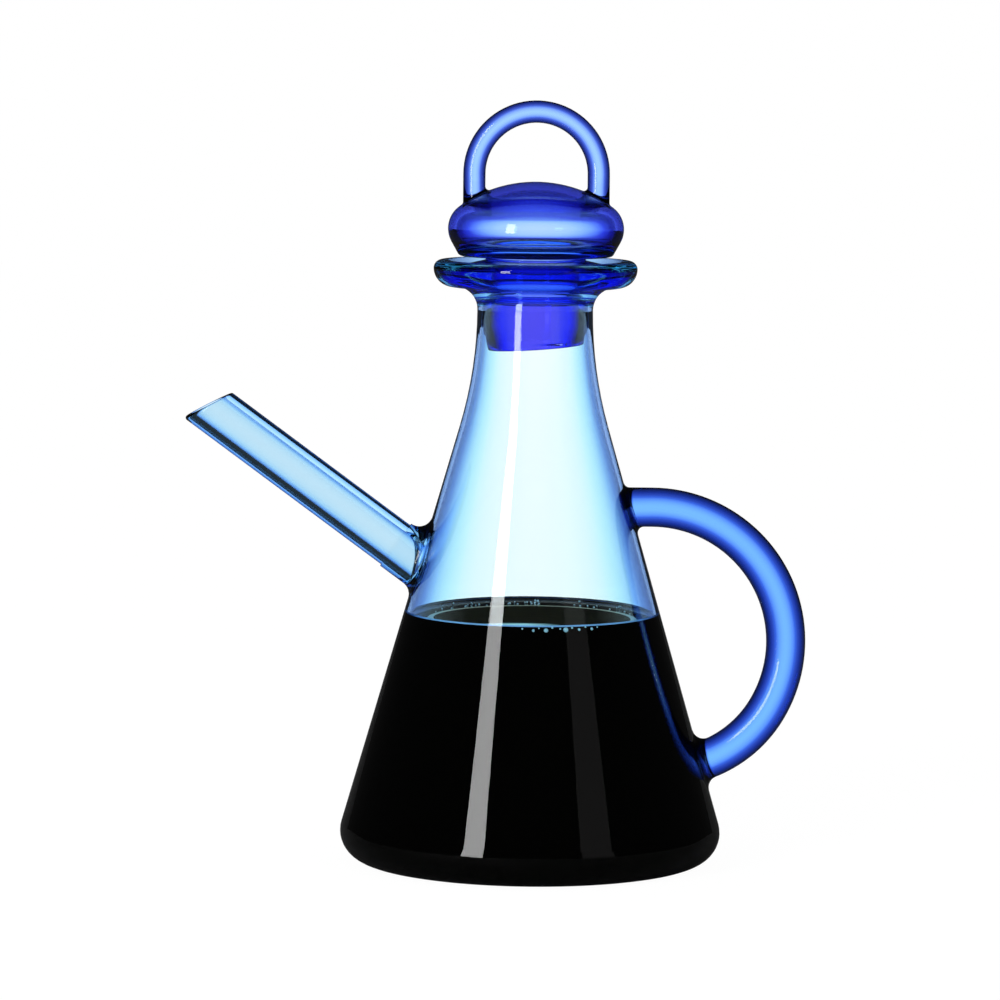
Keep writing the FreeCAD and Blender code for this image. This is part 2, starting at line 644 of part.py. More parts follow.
def draw_stopper_inside(body, name):
    """The hollow of the bulb and the bore of the open plug."""
    mouth = size("mouth_height")
    bore = size("plug_radius") - size("plug_wall")
    tip = bore - size("plug_taper")
    low = mouth - size("plug_end")
    below = low - size("plug_end")
    straight = mouth - size("plug_straight")
    wall = size("bulb_wall")
    throat = size("throat_round")
    side = size("bulb_side") - wall
    level = size("bulb_height") - side
    belly = (size("bulb_radius") - size("bulb_side"), size("bulb_height"))
    top = size("bulb_height") + size("bulb_crown") - wall
    crown = 2 * size("bulb_radius")

    o = Outline(body, name, "YZ_Plane")
    open_end = o.line((0, below), (tip, below))
    entry = o.line((tip, below), (tip, low))
    taper = o.line((tip, low), (bore, straight))
    tube = o.line((bore, straight), (bore, level - throat))
    bend = o.arc((bore + throat, level - throat), throat, 90, 180)
    floor = o.line((bore + throat, level), (belly[0], level))
    cheek = o.arc(belly, side, -90, 60)
    dome = o.arc((0, top - crown), crown, 60, 90)
    axis = o.line((0, top), (0, below))

    o.hold("Horizontal", open_end)
    o.join(open_end, END, entry, START)
    o.hold("Vertical", entry)
    o.join(entry, END, taper, START)
    o.join(taper, END, tube, START)
    o.hold("Vertical", tube)
    o.smooth(tube, END, bend, END)
    o.smooth(bend, START, floor, START)
    o.smooth(floor, END, cheek, START)
    o.smooth(cheek, END, dome, START)
    o.join(dome, END, axis, START)
    o.join(axis, END, open_end, START)
    o.hold("PointOnObject", dome, CENTRE, UPRIGHT)
    o.hold("PointOnObject", axis, START, UPRIGHT)
    o.hold("PointOnObject", axis, END, UPRIGHT)
    o.hold("Horizontal", floor)
    o.up(open_end, START, "sizes.mouth_height - 2 * sizes.plug_end")
    o.across(entry, END, "sizes.plug_radius - sizes.plug_wall - sizes.plug_taper")
    o.up(entry, END, "sizes.mouth_height - sizes.plug_end")
    o.up(taper, END, "sizes.mouth_height - sizes.plug_straight")
    o.across(taper, END, "sizes.plug_radius - sizes.plug_wall")
    o.radius(bend, "sizes.throat_round")
    o.radius(cheek, "sizes.bulb_side - sizes.bulb_wall")
    o.across(cheek, CENTRE, "sizes.bulb_radius - sizes.bulb_side")
    o.up(cheek, CENTRE, "sizes.bulb_height")
    o.up(dome, END, "sizes.bulb_height + sizes.bulb_crown - sizes.bulb_wall")
    return o.sketch


def draw_ring_path(body):
    """Two short legs and the half turn between them, from inside the bulb."""
    bend = size("ring_bend")
    low = size("bulb_height")
    high = size("ring_height")
    o = Outline(body, "ring_path", "XZ_Plane")
    left = o.line((-bend, low), (-bend, high))
    over = o.arc((0, high), bend, 0, 180)
    right = o.line((bend, high), (bend, low))
    o.hold("Vertical", left)
    o.hold("Vertical", right)
    o.smooth(left, END, over, END)
    o.smooth(over, START, right, START)
    o.hold("PointOnObject", over, CENTRE, UPRIGHT)
    o.radius(over, "sizes.ring_bend")
    o.up(over, CENTRE, "sizes.ring_height")
    o.up(left, START, "sizes.bulb_height")
    o.up(right, END, "sizes.bulb_height")
    return o.sketch


def draw_ring_section(body):
    o = Outline(body, "ring_section", "XY_Plane")
    circle = Part.Circle(vector(-size("ring_bend"), 0), FreeCAD.Vector(0, 0, 1), size("ring_rod"))
    rod = o.sketch.addGeometry(circle, False)
    o.hold("PointOnObject", rod, CENTRE, ORIGIN)
    o.across(rod, CENTRE, "-sizes.ring_bend")
    o.radius(rod, "sizes.ring_rod")
    o.sketch.setExpression("AttachmentOffset.Base.z", "sizes.bulb_height")
    doc.recompute()
    return o.sketch


def is_plug_rim(edge):
    """Either edge of the plug's slanted cut."""
    middle = FreeCAD.Vector(0, 0, size("mouth_height") - size("plug_depth"))
    slant = FreeCAD.Rotation(FreeCAD.Vector(0, 1, 0), -size("plug_cut"))
    return in_plane(edge, middle, slant.multVec(FreeCAD.Vector(0, 0, 1)))


def make_stopper():
    body = new_body("stopper")
    outside = draw_stopper_outside(body, "blown")
    bulb = revolve(body, "PartDesign::Revolution", outside, "V_Axis").Shape
    ring = body.newObject("PartDesign::AdditivePipe", "ring")
    ring.Profile = draw_ring_section(body)
    ring.Spine = draw_ring_path(body)
    doc.recompute()
    rod = ring.Spine[0].Shape

    def is_ring_foot(edge):
        """The line where a leg of the ring meets the bulb."""
        return runs_at(edge, rod, size("ring_rod")) and runs_at(edge, bulb, 0)

    round_edges(body, "ring_feet", is_ring_foot, "sizes.ring_fillet")
    revolve(body, "PartDesign::Groove", draw_stopper_inside(body, "hollow"), "V_Axis")

    across = "sizes.base_radius"
    rise = across + " * tan(sizes.plug_cut)"
    middle = "sizes.mouth_height - sizes.plug_depth"
    outline = Outline(body, "slant_end", "XZ_Plane")
    wedge = polygon(outline, [
        ("-" + across, middle + " - " + rise),
        ("-" + across, "0"),
        (across, "0"),
        (across, middle + " + " + rise)])
    cut = body.newObject("PartDesign::Pocket", "slanted_end")
    cut.Profile = wedge
    cut.Type = "ThroughAll"
    cut.Midplane = True
    doc.recompute()
    round_edges(body, "rim_polish", is_plug_rim, "sizes.plug_rim")
    return body


# ---------------------------------------------------------------- vinegar

def draw_headspace(body, name):
    """Everything above the vinegar: its flat level and the climb at the glass."""
    level = size("level")
    curve = size("meniscus_curve")
    rise = size("meniscus_rise")
    above = size("mouth_height") + size("clear_out")
    wide = size("base_radius")

    o = Outline(body, name, "YZ_Plane")
    foot, side, neck = draw_hollow_side(o, True)
    reach = 0.6 * wide
    last = math.degrees(math.asin((rise - curve) / curve))
    lift = round_point((reach, level + curve), curve, last)
    flat = o.line((0, level), (reach, level))
    climb = o.arc((reach, level + curve), curve, -90, last)
    shelf = o.line(lift, (wide, lift[1]))
    out = o.line((wide, lift[1]), (wide, above))
    top = o.line((wide, above), (0, above))
    axis = o.line((0, above), (0, level))

    o.hold("Horizontal", flat)
    o.smooth(flat, END, climb, START)
    o.join(climb, END, shelf, START)
    o.hold("PointOnObject", climb, END, side)
    o.hold("Horizontal", shelf)
    o.join(shelf, END, out, START)
    o.hold("Vertical", out)
    o.join(out, END, top, START)
    o.hold("Horizontal", top)
    o.join(top, END, axis, START)
    o.join(axis, END, flat, START)
    o.hold("PointOnObject", axis, START, UPRIGHT)
    o.hold("PointOnObject", axis, END, UPRIGHT)
    o.up(flat, START, "sizes.level")
    o.radius(climb, "sizes.meniscus_curve")
    o.up(climb, END, "sizes.level + sizes.meniscus_rise")
    o.across(shelf, END, "sizes.base_radius")
    o.up(top, END, "sizes.mouth_height + sizes.clear_out")
    return o.sketch


def make_vinegar():
    body = new_body("vinegar")
    revolve(body, "PartDesign::Revolution", draw_bottle_inside(body, "brimful"), "V_Axis")
    revolve(body, "PartDesign::Groove", draw_headspace(body, "headspace"), "V_Axis")
    return body


# ------------------------------------------------------------------ build

pieces = [make_bottle(), make_spout(), make_handle(), make_stopper(), make_vinegar()]
doc.recompute()
for item in doc.Objects:
    if "Invalid" in item.State or "Error" in item.State:
        raise RuntimeError(item.Name + " did not build")
for piece in pieces:
    if piece.Shape.isNull() or not piece.Shape.isValid() or len(piece.Shape.Solids) != 1:
        raise RuntimeError(piece.Label + " is not one sound solid")

os.makedirs("parts", exist_ok=True)
for piece in pieces:
    piece.Shape.exportStep(os.path.join("parts", piece.Label + ".step"))
    print(piece.Label, round(piece.Shape.Volume, 1), "mm3", piece.Shape.optimalBoundingBox(True, False))
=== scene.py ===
"""Oil and vinegar cruet: blown light blue bottle with a slanted spout, cobalt handle and
stopper, and dark vinegar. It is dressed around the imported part, in metres."""

import math
import random

import bpy
from bpy.props import FloatProperty, FloatVectorProperty, PointerProperty
from mathutils import Matrix, Vector


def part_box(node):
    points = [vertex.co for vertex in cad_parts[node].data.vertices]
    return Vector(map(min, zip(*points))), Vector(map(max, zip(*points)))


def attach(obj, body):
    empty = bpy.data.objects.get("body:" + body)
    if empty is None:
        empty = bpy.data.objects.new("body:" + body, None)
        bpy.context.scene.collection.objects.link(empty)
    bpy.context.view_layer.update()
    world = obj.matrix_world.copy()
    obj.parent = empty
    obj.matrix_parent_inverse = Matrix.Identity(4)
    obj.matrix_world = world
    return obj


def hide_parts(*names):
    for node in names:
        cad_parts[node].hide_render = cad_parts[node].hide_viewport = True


bl_info = {
    "name": "Oil and vinegar cruet",
    "version": (1, 0, 0),
    "blender": (4, 5, 0),
    "location": "View3D > Sidebar > Cruet",
    "description": "Models a blown glass cruet with its handle, stopper and vinegar",
    "category": "Add Mesh",
}

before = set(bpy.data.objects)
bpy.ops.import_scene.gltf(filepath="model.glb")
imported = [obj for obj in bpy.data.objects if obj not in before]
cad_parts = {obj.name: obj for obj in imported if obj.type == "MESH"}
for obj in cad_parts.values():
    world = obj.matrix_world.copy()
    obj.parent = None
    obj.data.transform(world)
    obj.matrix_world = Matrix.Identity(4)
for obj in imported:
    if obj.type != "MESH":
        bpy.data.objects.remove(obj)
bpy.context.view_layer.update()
BOTTLE_LOW, BOTTLE_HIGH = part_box("bottle")

MM = 0.001
SEAT = BOTTLE_HIGH[2]
ROUND_STEPS = 192

# Where the stopper's glass changes: the ring's legs and arch, and the plug below the seat.
RING_ASIDE = 12.6 * MM
RING_FOOT = SEAT + 15 * MM
RING_ARCH = SEAT + 20.5 * MM
PLUG_FADE = (SEAT + 2 * MM, SEAT - 3 * MM)
PLUG_VIOLET = (0.5, 0.36, 1)

# How far each piece is swelled to meet its neighbour, and the angle that stays a sharp edge.
STOPPER_SWELL = 0.05 * MM
HANDLE_SWELL = 0.05 * MM
SPOUT_SWELL = 0.02 * MM
SHARP_EDGE = 35

# Light of the studio: what the eye sees behind the cruet, bare and through glass, what falls on
# things, what mirror reflections see, and what light turned inside the glass sees.
BACKDROP = 1.0
BACKDROP_THROUGH_GLASS = 1.22
FLOOR_GLOW = 1.08
FLOOR_GLOW_THROUGH_GLASS = 1.3
FLOOR_GLOW_SHARE = 0.9
AMBIENT = 0.35
MIRRORED = 0.015
TURNED_FRONT = 0.12
TURNED_BACK = 1.15

GLASS_IOR = 1.47
OLIVE = (0.005, 0.0055, 0.0015)
NEAR_BLACK = (0.0003, 0.0003, 0.0002)
VINEGAR_IOR = 1.34

# The pale gleam is a painted reflection, a colour on the surface: how it is stretched and
# shifted before its reach is measured, per metre, where it starts to fade, and its colour.
GLEAM_STRETCH = (90, 230, 0)
GLEAM_SHIFT = (0.3, 3.6, 0)
GLEAM_FADE = 0.3
GLEAM_BLUE = (0.5, 0.9, 1)

# The softboxes: angle aside of the camera in degrees, width and height in metres, and glow.
STRIPS = (
    ("left_strip", -34.5, (0.27, 0.9), 6.3),
    ("right_strip", 41, (0.42, 0.9), 0.13),
)

# Sideways place, radius and depth below the contact line of each larger bubble, in millimetres.
FRONT_BUBBLES = (
    (-2.6, 0.26, 0.5), (0.2, 0.4, 0.9), (1.6, 0.24, 0.3), (3.4, 0.62, 0.9), (5.0, 0.3, 0.2),
    (7.0, 0.26, 0.5), (8.4, 0.72, 0.8), (10.0, 0.32, 0.3), (11.8, 0.4, 0.8), (13.4, 0.28, 0.2),
    (15.0, 0.44, 0.8), (16.4, 0.24, 0.4),
)
BACK_CLUSTERS = (-24, -16, -15, -4, -1, 1, 3, 14, 16, 24)
BACK_BUBBLES = 46
STRIP_DISTANCE = 1.2
STRIP_HEIGHT = 0.4

# Painted edge shade: how the glass's colour deepens from square on (0) to edge on (1).
LIGHT_BLUE_EDGE_SHADE = (
    (0.0, (0.98, 1.0, 1.0)),
    (0.2, (0.85, 0.98, 1.0)),
    (0.3, (0.63, 0.93, 1.0)),
    (0.4, (0.46, 0.78, 1.0)),
    (0.52, (0.2, 0.42, 0.95)),
    (0.64, (0.09, 0.17, 0.58)),
    (1.0, (0.04, 0.07, 0.3)),
)
TUBE_BLUE_EDGE_SHADE = (
    (0.0, (0.95, 0.99, 1.0)),
    (0.15, (0.86, 0.96, 1.0)),
    (0.3, (0.6, 0.82, 1.0)),
    (0.45, (0.24, 0.48, 0.98)),
    (0.65, (0.08, 0.2, 0.8)),
    (1.0, (0.04, 0.1, 0.5)),
)
COBALT_EDGE_SHADE = (
    (0.0, (1.0, 1.0, 1.0)),
    (0.06, (0.5, 0.55, 0.96)),
    (0.134, (0.08, 0.12, 0.56)),
    (0.21, (0.04, 0.045, 0.28)),
    (0.4, (0.018, 0.022, 0.1)),
    (0.57, (0.012, 0.01, 0.02)),
)
DEEP_COBALT_EDGE_SHADE = (
    (0.0, (1.0, 1.0, 1.0)),
    (0.12, (0.85, 0.93, 1.0)),
    (0.24, (0.55, 0.68, 1.0)),
    (0.36, (0.2, 0.26, 0.98)),
    (0.48, (0.04, 0.035, 0.55)),
    (0.65, (0.012, 0.006, 0.16)),
    (1.0, (0.02, 0.012, 0.06)),
)


def length(name, description, default):
    return FloatProperty(name=name, description=description, default=default, min=0,
                         unit="LENGTH", subtype="DISTANCE", precision=4)


def colour(name, description, default):
    return FloatVectorProperty(name=name, description=description, default=default, size=3,
                               min=0, max=1, subtype="COLOR")


def absorption(default):
    return FloatProperty(name="Depth of tint", description="Absorption per metre of glass",
                         default=default, min=0)


# ---------------------------------------------------------------- modelling

def deselect():
    if bpy.context.object is not None and bpy.context.object.mode != "OBJECT":
        bpy.ops.object.mode_set(mode="OBJECT")
    bpy.ops.object.select_all(action="DESELECT")


def only(piece):
    """Makes one piece the selected and active one."""
    deselect()
    piece.select_set(True)
    bpy.context.view_layer.objects.active = piece


class Outline:
    """A half outline above the X axis's plane, drawn point by point and then turned round."""

    def __init__(self, name, x, z):
        deselect()
        bpy.ops.mesh.primitive_plane_add(size=MM)
        self.piece = bpy.context.object
        self.piece.name = name
        self.piece.data.name = name
        bpy.ops.object.mode_set(mode="EDIT")
        bpy.ops.mesh.select_mode(type="VERT")
        bpy.ops.mesh.select_all(action="SELECT")
        bpy.ops.mesh.merge(type="CENTER")
        bpy.ops.transform.translate(value=(x, 0, z))
        self.x = x
        self.z = z

    def line(self, x, z):
        """A straight stretch to a point."""
        bpy.ops.mesh.extrude_region_move(
            TRANSFORM_OT_translate={"value": (x - self.x, 0, z - self.z)})
        self.x = x
        self.z = z

    def arc(self, x, z, degrees, steps=10):
        """A round stretch about a centre, anticlockwise where the angle is positive."""
        turn = math.radians(degrees)
        bpy.ops.mesh.spin(steps=steps, angle=turn, center=(x, 0, z), axis=(0, 1, 0))
        across = self.x - x
        up = self.z - z
        self.x = x + across * math.cos(turn) - up * math.sin(turn)
        self.z = z + across * math.sin(turn) + up * math.cos(turn)

    def turn(self, segments):
        """Spins the outline once round the upright axis into a closed shell."""
        bpy.ops.mesh.select_all(action="SELECT")
        bpy.ops.mesh.spin(steps=segments, angle=math.tau, center=(0, 0, 0), axis=(0, 0, 1))
        close_shell()
        bpy.ops.object.mode_set(mode="OBJECT")
        return self.piece


def close_shell():
    """Joins the seams and poles of the mesh being edited and turns its faces outwards."""
    bpy.ops.mesh.select_all(action="SELECT")
    bpy.ops.mesh.remove_doubles(threshold=0.001 * MM)
    bpy.ops.mesh.normals_make_consistent(inside=False)


def smooth(piece, degrees=SHARP_EDGE):
    only(piece)
    bpy.ops.object.shade_smooth_by_angle(angle=math.radians(degrees))


def side_lean(corner, sweep_centre, corner_round, sweep):
    """The lean of the straight side that touches the base corner and the neck's sweep."""
    across = sweep_centre[0] - corner[0]
    up = sweep_centre[1] - corner[1]
    reach = math.hypot(across, up)
    return math.degrees(math.asin((corner_round + sweep) / reach) - math.atan2(across, up))


# ---------------------------------------------------------------- settings

class CruetBottleSettings(bpy.types.PropertyGroup):
    base_radius: length("Base radius", "Radius of the bottle at its widest", BOTTLE_HIGH[1])
    body_wall: length("Wall", "Glass thickness of the body's side", 2 * MM)
    base_wall: length("Base thickness", "Glass thickness of the base", 2.6 * MM)
    inner_corner: length("Inner corner", "Round of the hollow's bottom edge", 6 * MM)
    neck_sweep: length("Neck sweep", "Radius of the curve from cone to neck", 110 * MM)
    neck_radius: length("Neck radius", "Outer radius of the neck", 15.1 * MM)
    neck_wall: length("Neck wall", "Glass thickness of the neck", 1.15 * MM)
    neck_height: length("Neck height", "Height of the neck's narrowest place", 145.07 * MM)
    tint: colour("Tint", "Light that the glass lets through", (0.05, 0.83, 0.96))
    depth: absorption(47)
    tube_tint: colour("Tube tint", "Light that the spout's glass lets through", (0.0, 0.55, 0.85))
    tube_depth: absorption(130)


class CruetHandleSettings(bpy.types.PropertyGroup):
    tint: colour("Tint", "Light that the glass lets through", (0.0, 0.57, 1.0))
    depth: absorption(172)


class CruetStopperSettings(bpy.types.PropertyGroup):
    tint: colour("Tint", "Light that the glass lets through", (0.0, 0.5, 1.0))
    depth: absorption(200)


class CruetVinegarSettings(bpy.types.PropertyGroup):
    level: length("Level", "Height of the vinegar above the table", 64 * MM)
    meniscus: length("Meniscus", "How far the vinegar climbs the wall", 1.5 * MM)
    sink: length("Overlap", "How far the vinegar reaches into the wall", 0.25 * MM)
    glint: length("Glint", "Width of the bright line round the flat surface", 0.5 * MM)
    line: length("Contact line", "Height of the film at the glass", 0.4 * MM)


class CruetStageSettings(bpy.types.PropertyGroup):
    distance: length("Camera distance", "From the lens to the cruet's axis", 1.35725)
    height: length("Camera height", "Height of the lens above the table", 0.22576)
    aside: length("Camera aside", "How far the lens stands to the spout's side", 0.00696)
    aim: length("Aim height", "Height that the lens looks at", 0.09509)
    aim_aside: length("Aim aside", "How far the aim lies to the spout's side", 0.0087)
    roll: FloatProperty(name="Roll", description="Turn of the camera about its own axis",
                        default=math.radians(0.561), subtype="ANGLE")
    lens: FloatProperty(name="Focal length", description="Focal length in millimetres",
                        default=187.35, min=1)


# ---------------------------------------------------------------- materials

def new_material(name):
    material = bpy.data.materials.new(name)
    material.use_nodes = True
    nodes = material.node_tree.nodes
    return material, nodes, material.node_tree.links, nodes["Principled BSDF"]


def absorb(material, tint, depth):
    """Colours the glass by how far light goes through it."""
    nodes = material.node_tree.nodes
    volume = nodes.new("ShaderNodeVolumeAbsorption")
    volume.inputs["Color"].default_value = (*tint, 1)
    volume.inputs["Density"].default_value = depth
    output = nodes["Material Output"]
    material.node_tree.links.new(volume.outputs["Volume"], output.inputs["Volume"])


def shade_ramp(nodes, links, facing, shades):
    """Colours from square on to edge on: painted shade that darkens the glass's edges."""
    ramp = nodes.new("ShaderNodeValToRGB")
    stops = ramp.color_ramp.elements
    while len(stops) < len(shades):
        stops.new(0.5)
    for stop, (place, shade) in zip(stops, shades):
        stop.position = place
        stop.color = (*shade, 1)
    links.new(facing, ramp.inputs["Fac"])
    return ramp.outputs["Color"]


def blown_glass(name, shades, tint, depth):
    """Clear coloured glass whose colour deepens where it is seen edge on, as painted shade."""
    material, nodes, links, shader = new_material(name)
    shader.inputs["Transmission Weight"].default_value = 1
    shader.inputs["Roughness"].default_value = 0
    shader.inputs["IOR"].default_value = GLASS_IOR
    facing = nodes.new("ShaderNodeLayerWeight")
    facing.inputs["Blend"].default_value = 0.5
    # The darkening edge on is painted shade in the base colour.
    colours = shade_ramp(nodes, links, facing.outputs["Facing"], shades)
    links.new(colours, shader.inputs["Base Color"])
    absorb(material, tint, depth)
    return material


def mix_colours(nodes, links, share, low, high, blend="MIX"):
    """A linked colour that goes over to another, plain or linked, by a linked share."""
    mix = nodes.new("ShaderNodeMix")
    mix.data_type = "RGBA"
    mix.blend_type = blend
    links.new(share, mix.inputs["Factor"])
    links.new(low, mix.inputs["A"])
    if isinstance(high, tuple):
        mix.inputs["B"].default_value = (*high, 1)
    else:
        links.new(high, mix.inputs["B"])
    return mix.outputs["Result"]


def compare(nodes, links, operation, first, second):
    """A Math node of a linked number and a plain or linked one."""
    node = nodes.new("ShaderNodeMath")
    node.operation = operation
    links.new(first, node.inputs[0])
    if isinstance(second, float):
        node.inputs[1].default_value = second
    else:
        links.new(second, node.inputs[1])
    return node.outputs[0]


def vary_stopper(material):
    """Steepens the painted edge shade of the solid ring, and turns the plug, where the glass is
    thick, to violet.
    """
    nodes = material.node_tree.nodes
    links = material.node_tree.links
    shader = nodes["Principled BSDF"]
    facing = nodes["Layer Weight"].outputs["Facing"]
    bulb = shader.inputs["Base Color"].links[0].from_socket
    place = nodes.new("ShaderNodeTexCoord")
    split = nodes.new("ShaderNodeSeparateXYZ")
    links.new(place.outputs["Object"], split.inputs["Vector"])

    aside = nodes.new("ShaderNodeMath")
    aside.operation = "ABSOLUTE"
    links.new(split.outputs["X"], aside.inputs[0])
    leg = compare(nodes, links, "GREATER_THAN", aside.outputs[0], RING_ASIDE)
    high = compare(nodes, links, "GREATER_THAN", split.outputs["Z"], RING_FOOT)
    above = compare(nodes, links, "GREATER_THAN", split.outputs["Z"], RING_ARCH)
    ring = compare(nodes, links, "MAXIMUM", compare(nodes, links, "MINIMUM", leg, high), above)
    # The ring's own ramp of painted edge shade.
    rod = shade_ramp(nodes, links, facing, COBALT_EDGE_SHADE)
    glass = mix_colours(nodes, links, ring, bulb, rod)

    plug = nodes.new("ShaderNodeMapRange")
    plug.inputs["From Min"].default_value = PLUG_FADE[0]
    plug.inputs["From Max"].default_value = PLUG_FADE[1]
    links.new(split.outputs["Z"], plug.inputs["Value"])
    violet = mix_colours(nodes, links, plug.outputs["Result"], glass, PLUG_VIOLET, "MULTIPLY")
    links.new(violet, shader.inputs["Base Color"])


def swell(piece, depth):
    """Swells a piece by a hair, so that it meets its neighbour cleanly."""
    weld = piece.modifiers.new("weld", "WELD")
    weld.merge_threshold = 0.001 * MM
    skin = piece.modifiers.new("swell", "DISPLACE")
    skin.mid_level = 0
    skin.strength = depth
    edges = piece.modifiers.new("edges", "EDGE_SPLIT")
    edges.split_angle = math.radians(SHARP_EDGE)


def dress(piece, material):
    piece.data.materials.clear()
    piece.data.materials.append(material)


# ---------------------------------------------------------------- operators

class CRUET_OT_bottle(bpy.types.Operator):
    """Dress the blown bottle and its spout in light blue glass"""
    bl_idname = "cruet.bottle"
    bl_label = "Bottle"

    def execute(self, context):
        settings = context.scene.cruet_bottle
        glass = blown_glass("light_blue_glass", LIGHT_BLUE_EDGE_SHADE, settings.tint, settings.depth)
        dress(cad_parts["bottle"], glass)
        tube = blown_glass("light_blue_tube_glass", TUBE_BLUE_EDGE_SHADE, settings.tube_tint,
                           settings.tube_depth)
        dress(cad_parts["spout"], tube)
        swell(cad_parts["spout"], SPOUT_SWELL)
        return {"FINISHED"}


class CRUET_OT_handle(bpy.types.Operator):
    """Dress the handle in cobalt glass"""
    bl_idname = "cruet.handle"
    bl_label = "Handle"

    def execute(self, context):
        settings = context.scene.cruet_handle
        glass = blown_glass("cobalt_glass", COBALT_EDGE_SHADE, settings.tint, settings.depth)
        dress(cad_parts["handle"], glass)
        swell(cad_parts["handle"], HANDLE_SWELL)
        return {"FINISHED"}


class CRUET_OT_stopper(bpy.types.Operator):
    """Dress the stopper in deep cobalt glass"""
    bl_idname = "cruet.stopper"
    bl_label = "Stopper"

    def execute(self, context):
        settings = context.scene.cruet_stopper
        glass = blown_glass("cobalt_stopper_glass", DEEP_COBALT_EDGE_SHADE, settings.tint, settings.depth)
        vary_stopper(glass)
        dress(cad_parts["stopper"], glass)
        swell(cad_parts["stopper"], STOPPER_SWELL)
        return {"FINISHED"}


def vinegar_material(name, gloss, roughness, shade=NEAR_BLACK):
    """Near-black vinegar with a trace of olive brown."""
    material, nodes, links, shader = new_material(name)
    shader.inputs["Base Color"].default_value = (*shade, 1)
    shader.inputs["Roughness"].default_value = roughness
    shader.inputs["Specular IOR Level"].default_value = gloss
    shader.inputs["IOR"].default_value = VINEGAR_IOR
    return material


class Hollow:
    """The inside of the bottle below its neck, grown into the wall by a sink."""

    def __init__(self, bottle, sink=0.0):
        self.corner = (bottle.base_radius - bottle.body_wall - bottle.inner_corner,
                       bottle.base_wall + bottle.inner_corner)
        self.round = bottle.inner_corner + sink
        self.floor = bottle.base_wall - sink
        sweep_radius = bottle.neck_sweep + bottle.neck_wall
        sweep = (bottle.neck_radius + bottle.neck_sweep, bottle.neck_height)
        self.lean = side_lean(self.corner, sweep, bottle.inner_corner, sweep_radius)

    def radius(self, height):
        """Inner radius of the straight side at a height."""
        turn = math.radians(self.lean)
        side = (self.corner[0] + self.round * math.cos(turn),
                self.corner[1] + self.round * math.sin(turn))
        return side[0] - (height - side[1]) * math.tan(turn)


class CRUET_OT_vinegar(bpy.types.Operator):
    """Fill the bottle with dark vinegar up to its level"""
    bl_idname = "cruet.vinegar"
    bl_label = "Vinegar"

    def execute(self, context):
        settings = context.scene.cruet_vinegar
        hollow = Hollow(context.scene.cruet_bottle, settings.sink)
        top = settings.level + settings.meniscus
        reach = hollow.radius(top)
        width = 4 * settings.meniscus

        outline = Outline("dark_vinegar", 0, hollow.floor)
        outline.line(hollow.corner[0], hollow.floor)
        outline.arc(*hollow.corner, 90 + hollow.lean, 16)
        outline.line(reach, top)
        steps = 12
        for step in range(1, steps + 1):
            part = step / steps
            rise = climb(settings, width * part)
            outline.line(reach - width * part, settings.level + rise)
        outline.line(reach - width - settings.glint, settings.level)
        outline.line(0, settings.level)
        piece = outline.turn(ROUND_STEPS)
        smooth(piece)
        dress(piece, vinegar_material("vinegar_at_the_glass", 0, 0.5))
        surface = vinegar_material("vinegar_surface", 0, 0.5, OLIVE)
        add_painted_gleam(surface)
        piece.data.materials.append(surface)
        piece.data.materials.append(vinegar_material("vinegar_meniscus", 0.5, 0.03))
        # The glint ring round the surface is a painted highlight in its colour.
        piece.data.materials.append(glint_material())
        for face in piece.data.polygons:
            out = math.hypot(face.center.x, face.center.y)
            if face.normal.z > 0.9999 and out > reach - width - settings.glint:
                face.material_index = 3
            elif face.normal.z > 0.9999:
                face.material_index = 1
            elif face.normal.z > 0 and face.center.z > settings.level:
                face.material_index = 2
        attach(piece, "root")
        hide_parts("vinegar")
        return {"FINISHED"}


def add_painted_gleam(material):
    """Paints a pale gleam, a painted reflection, on the surface in front. It stays in place and is
    no real reflection.
    """
    nodes = material.node_tree.nodes
    links = material.node_tree.links
    shader = nodes["Principled BSDF"]
    place = nodes.new("ShaderNodeTexCoord")
    reach = nodes.new("ShaderNodeVectorMath")
    reach.operation = "MULTIPLY_ADD"
    reach.inputs[1].default_value = GLEAM_STRETCH
    reach.inputs[2].default_value = GLEAM_SHIFT
    away = nodes.new("ShaderNodeVectorMath")
    away.operation = "LENGTH"
    share = nodes.new("ShaderNodeMapRange")
    share.inputs["From Min"].default_value = GLEAM_FADE
    share.inputs["From Max"].default_value = 1
    mix = nodes.new("ShaderNodeMix")
    mix.data_type = "RGBA"
    mix.inputs["A"].default_value = (*GLEAM_BLUE, 1)
    mix.inputs["B"].default_value = (*OLIVE, 1)
    links.new(place.outputs["Object"], reach.inputs[0])
    links.new(reach.outputs["Vector"], away.inputs[0])
    links.new(away.outputs["Value"], share.inputs["Value"])
    links.new(share.outputs["Result"], mix.inputs["Factor"])
    links.new(mix.outputs["Result"], shader.inputs["Base Color"])


